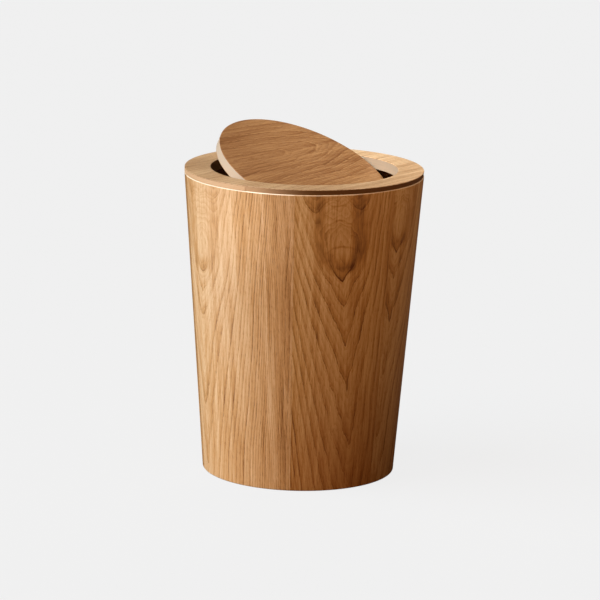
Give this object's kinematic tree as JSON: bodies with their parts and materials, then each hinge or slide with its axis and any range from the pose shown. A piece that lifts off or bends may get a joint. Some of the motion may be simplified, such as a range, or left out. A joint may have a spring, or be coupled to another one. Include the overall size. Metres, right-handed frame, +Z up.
{
  "type": "wastebasket",
  "caption": "Tapered round wooden wastebasket with a lift-off lid ring and a disc flap that swings on a centre pivot.",
  "frame": {"origin": "centre of the foot, on the floor", "axes": "+Z up, +X along the flap's pivot, +Y towards the half of the flap that stands raised"},
  "size_m": [0.24, 0.24, 0.347],
  "materials": {
    "shell_face": "satin lacquered veneer",
    "lining": "satin veneer",
    "ply": "sanded plywood",
    "ring_face": "satin lacquered veneer",
    "dark_edge": "stained edge lipping",
    "pale_edge": "satin edge band",
    "flap_face": "satin lacquered veneer",
    "flap_back": "satin lacquered veneer",
    "bush": "plain nylon",
    "pins": "turned steel",
    "screws": "zinc plated"
  },
  "bodies": {
    "bin": {"shell_core": "ply", "face_leaf_left": "shell_face", "face_leaf_front": "shell_face", "face_leaf_right": "shell_face", "face_leaf_rear": "shell_face", "base_panel": "ply", "lining_veneer": "lining"},
    "lid": {"ring_core": "ply", "locating_ring": "ply", "ring_leaf_front": "ring_face", "ring_leaf_rear": "ring_face", "ring_band_front": "dark_edge", "ring_band_rear": "pale_edge", "opening_band": "pale_edge", "bush_left": "bush", "bush_right": "bush", "ring_screws": "screws"},
    "flap": {"flap_core": "ply", "flap_edge_band": "pale_edge", "flap_leaf_front": "flap_face", "flap_leaf_rear": "flap_face", "flap_back_veneer": "flap_back", "pivot_pin_left": "pins", "pivot_pin_right": "pins"}
  },
  "joints": [
    {"name": "lid_lift", "type": "slide", "parent": "bin", "child": "lid", "axis": [0, 0, 1], "range_m": [0, 0.15]},
    {"name": "flap_swing", "type": "hinge", "parent": "lid", "child": "flap", "pos_m": [0, 0, 0.303], "axis": [1, 0, 0], "continuous": true}
  ]
}
